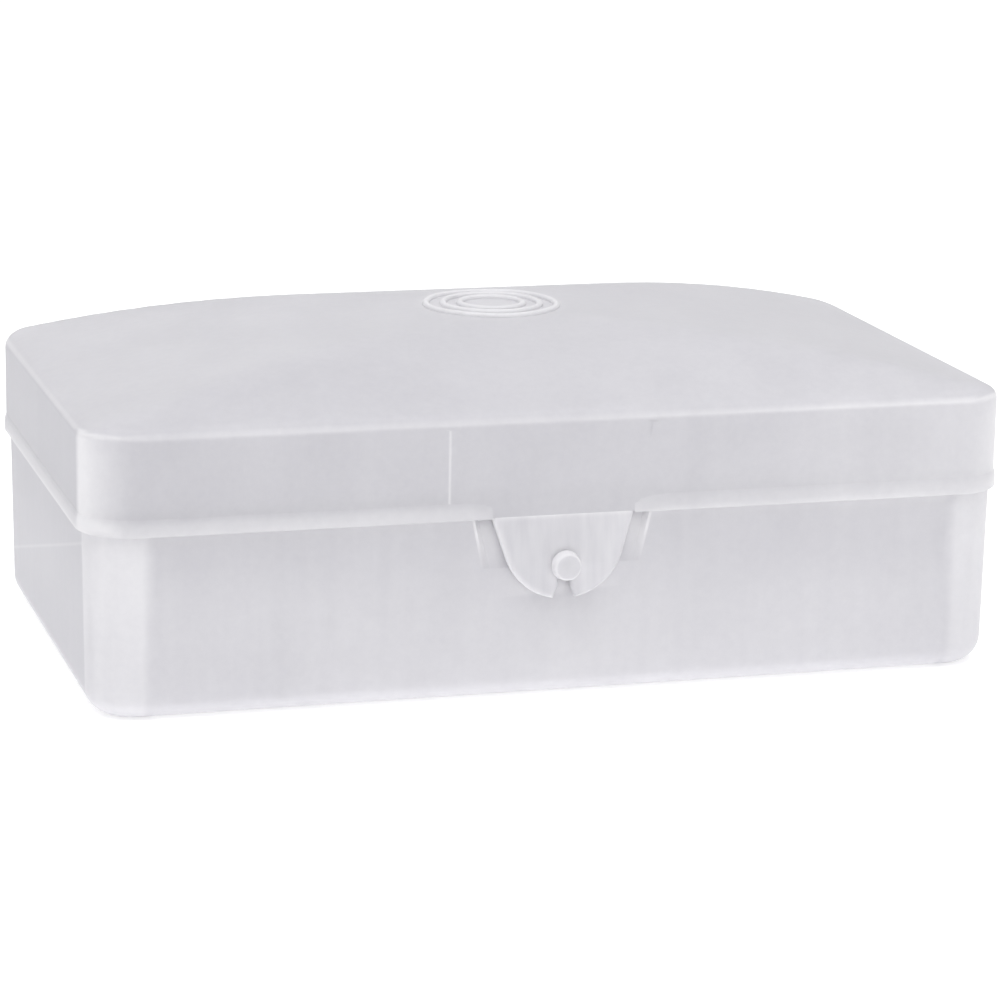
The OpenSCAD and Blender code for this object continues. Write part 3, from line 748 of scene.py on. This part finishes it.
# The ends of the bead run out beside the tongue.
TAPER_STEPS = 5
for i in range(1, TAPER_STEPS + 1):
    for side in (-1, 1):
        cut(bm, bm.faces, (side * (TONGUE_HALF + RIM_TAPER * i / TAPER_STEPS), 0, 0), (1, 0, 0))
for vert in bm.verts:
    past = abs(vert.co.x) - TONGUE_HALF
    if vert.co.y < -LID_D / 2 and past < RIM_TAPER:
        vert.co.y += (-LID_D / 2 - 0.02 - vert.co.y) * (1 - past / RIM_TAPER) ** 1.5
        vert.co.z += (rim_foot - vert.co.z) * 0.75 * (1 - past / RIM_TAPER)


BEAD_MORE = 0.18
LEFT_BEAD_MORE = 0.22


def rim_milk_and_light(p):
    """The milk of the skirt at the top of the bead, with painted light towards the lower edge, more
    so on the left half of the front. Near the tongue it is a little darker at the left and lighter
    at the right, apart from the painted highlight on the lower edge, which is weaker on both sides."""
    near = max(0.0, 1 - (abs(p.x) - TONGUE_HALF) / 8) if p.y < 0 else 0
    skirt = max(WALL_MILK - 0.05, lid_milk_and_light(p))
    # A painted highlight along the lower edge of the bead.
    if p.z < rim_foot + RIM_EDGE_R + TOUCH:
        return max(0.8 if p.x < 0 else 0.86, skirt) - (0.2 if p.x < 0 else 0.1) * near
    left = min(1.0, max(0.0, -p.x / 10)) if p.y < 0 and abs(p.x) < LID_W / 2 - 0.5 else 0
    down = 1 - (p.z - RIM_Z) / RIM_H
    return (skirt + BEAD_MORE * down - 0.05 + (-0.05 if p.x < 0 else 0.12) * near
            + LEFT_BEAD_MORE * left * min(1.0, 0.25 + 1.5 * max(0.0, down)))


lid_rim = finish_piece("lid_rim_piece", bm, "lid", lid_plastic, rim_milk_and_light)
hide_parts("lid_rim")


# Lid rings. Three plain raised rings lie round the crown, moulded in one with the lid.
rings_low, rings_high = (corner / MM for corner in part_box("lid_rings"))
RING_COUNT = 3
RING_STEP = 1.95
RING_W = 0.8
RING_H = 0.45
RING_DEEP = 0.25
ring_r = (rings_high.x - rings_low.x) / 2
crown_z = BORDER_Z + DOME_RISE
bm = bmesh.new()
for i in range(RING_COUNT):
    middle = ring_r - i * RING_STEP - RING_W / 2
    crest = arc(0, RING_H - RING_W / 2, RING_W / 2, 0, 180, 8)
    ring_outline = ([(middle + RING_W / 2, -RING_DEEP)] + [(middle + x, z) for x, z in crest]
                    + [(middle - RING_W / 2, -RING_DEEP)])
    verts = [bm.verts.new((r, 0, crown_z + z)) for r, z in ring_outline]
    geom = verts + [bm.edges.new(pair) for pair in zip(verts, verts[1:] + verts[:1])]
    bmesh.ops.spin(bm, geom=geom, cent=(0, 0, 0), axis=(0, 0, 1), dvec=(0, 0, 0),
                   angle=2 * math.pi, steps=72, use_merge=True)
for vert in bm.verts:
    vert.co.z -= DOME_RISE - dome(vert.co.x, vert.co.y)
# The rings are whiter than the dome, painted light.
lid_rings = finish_piece("lid_rings_piece", bm, "lid", lid_plastic,
                         lambda p: 0.92)
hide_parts("lid_rings")


# Latch tongue. The front of the skirt runs down into a springy round-ended tongue, which leans out
# over the pocket and drops over the stud. A keyhole in it opens down through a slit to its end.
tongue_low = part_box("latch_tongue")[0] / MM
TONGUE_T = 1.25
TONGUE_CUT = 0.4
TONGUE_MARGIN = 0.7
TONGUE_END_R = 6.9
TONGUE_EDGE_R = 0.42
KEYHOLE_R = 0.95
SLIT_HALF = 0.7
SLIT_MOUTH_HALF = 1.25
SLIT_MOUTH_H = 1.3
end_z = tongue_low.z + TONGUE_END_R
reach = math.hypot(TONGUE_HALF, RIM_Z - end_z)
tangent = math.degrees(math.atan2(RIM_Z - end_z, TONGUE_HALF) - math.acos(TONGUE_END_R / reach))
mouth_turn = math.degrees(math.asin(SLIT_MOUTH_HALF / TONGUE_END_R))
hole_turn = math.degrees(math.asin(SLIT_HALF / KEYHOLE_R))
right_half = (arc(0, end_z, TONGUE_END_R, tangent, mouth_turn - 90, 20)
              + [(SLIT_MOUTH_HALF - 0.12, tongue_low.z + 0.45),
                 (SLIT_HALF, tongue_low.z + SLIT_MOUTH_H)]
              + arc(0, STUD_Z, KEYHOLE_R, hole_turn - 90, 90, 14))
tongue_outline = ([(TONGUE_HALF, RIM_Z + SUNK)] + right_half
                  + [(-x, z) for x, z in reversed(right_half[:-1])]
                  + [(-TONGUE_HALF, RIM_Z + SUNK)])
bm = bmesh.new()
verts = [bm.verts.new((x, 0, z)) for x, z in tongue_outline]
face = bm.faces.new(verts)
grown = bmesh.ops.extrude_face_region(bm, geom=[face])["geom"]
moved = [part for part in grown if isinstance(part, bmesh.types.BMVert)]
bmesh.ops.translate(bm, vec=(0, TONGUE_T, 0), verts=moved)
rims = [e for v in verts + moved for e in v.link_edges
        if abs(e.verts[0].co.y - e.verts[1].co.y) < TOUCH and min(x.co.z for x in e.verts) < RIM_Z]
bmesh.ops.bevel(bm, geom=list(dict.fromkeys(rims)), offset=TONGUE_EDGE_R, offset_type="OFFSET",
                affect="EDGES", segments=3, profile=0.5, material=-1)
# Cuts across it let it lean evenly, and carry the painted light of its margins and keyhole.
cuts = [((0, 0, tongue_low.z + TONGUE_CUT * i), (0, 0, 1)) for i in range(1, 24)]
cuts += [((TONGUE_CUT * i, 0, 0), (1, 0, 0)) for i in range(-20, 21)]
for spot, across in cuts:
    cut(bm, bm.faces, spot, across)
root_y = LID_D / -2
lean = root_y - tongue_low.y
for vert in bm.verts:
    share = min(1.0, max(0.0, (RIM_Z - vert.co.z) / (RIM_Z - POCKET_Z)))
    vert.co.y += root_y - lean * share


SIDE_PAINTED_LIGHT = 0.95
MARGIN_PAINTED_LIGHT = 0.92


def tongue_milk_and_light(p):
    """Painted light: white on the narrow sides, against their shade. On the faces it is whiter
    round the keyhole, against the stud's shade, in a thin highlight at the root and towards the
    outline, where the left is a sharp line and the right only a soft change, and the middle is a
    little whiter at the right."""
    across, down, turn = abs(p.x), p.z - end_z, math.radians(tangent)
    out = math.hypot(across, down)
    if math.atan2(down, across) > turn:
        out = across * math.cos(turn) + down * math.sin(turn)
    from_outline = TONGUE_END_R - out
    if from_outline < TONGUE_EDGE_R / 2:
        return SIDE_PAINTED_LIGHT
    if p.x > 0.5:
        from_outline += 0.5
    from_keyhole = (math.hypot(p.x, p.z - STUD_Z) - KEYHOLE_R) / 3
    nearest = min(from_outline, from_keyhole, (RIM_Z - p.z) * 3)
    middle = WALL_MILK + 0.06 + 0.04 * min(1.0, max(-1.0, p.x / 3))
    share = min(1.0, max(0.0, nearest / TONGUE_MARGIN)) ** 0.6
    return MARGIN_PAINTED_LIGHT - (MARGIN_PAINTED_LIGHT - middle) * share


# The tongue is the same plastic, but its streaks are finer and stronger than elsewhere.
tongue_plastic = polypropylene("natural_polypropylene_tongue", flow_step=0.9, streak_share=0.8,
                               through=(0.4, 0.16))
latch_tongue = finish_piece("latch_tongue_piece", bm, "lid", tongue_plastic,
                            tongue_milk_and_light)
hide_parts("latch_tongue")


# Hinge knuckles. Two arms on the back of the skirt end in open knuckles, which spring over the pins
# of the tray through a mouth underneath.
KNUCKLE_EDGE_R = 0.25
PIN_GAP = 0.06
MOUTH_HALF = 0.75
ARM_H = 3
ARM_SHOULDER = 1.2
bore_r = PIN_R + PIN_GAP
back_y = LID_D / 2
mouth_out = math.degrees(math.asin(MOUTH_HALF / HINGE_R))
mouth_in = math.degrees(math.asin(MOUTH_HALF / bore_r))
knuckle_outline = ([(back_y - SUNK * 2, RIM_Z), (back_y - SUNK * 2, RIM_Z + ARM_H)]
                   + [(back_y + ARM_SHOULDER * 0.6, RIM_Z + ARM_H),
                      (back_y + ARM_SHOULDER, RIM_Z + ARM_H * 0.85)]
                   + arc(HINGE_Y, HINGE_Z, HINGE_R, 42, mouth_out - 90, 12)
                   + arc(HINGE_Y, HINGE_Z, bore_r, mouth_in - 90, 270 - mouth_in, 24)
                   + arc(HINGE_Y, HINGE_Z, HINGE_R, 270 - mouth_out, 180, 8)
                   + [(HINGE_Y - HINGE_R, RIM_Z)])
bm = bmesh.new()
for side in (-1, 1):
    flat_part(bm, knuckle_outline, side * HINGE_SPACING / 2, KNUCKLE_W, KNUCKLE_EDGE_R, segments=2)
hinge_knuckles = finish_piece("hinge_knuckles_piece", bm, "lid", lid_plastic,
                              lambda p: 0.6)
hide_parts("hinge_knuckles")
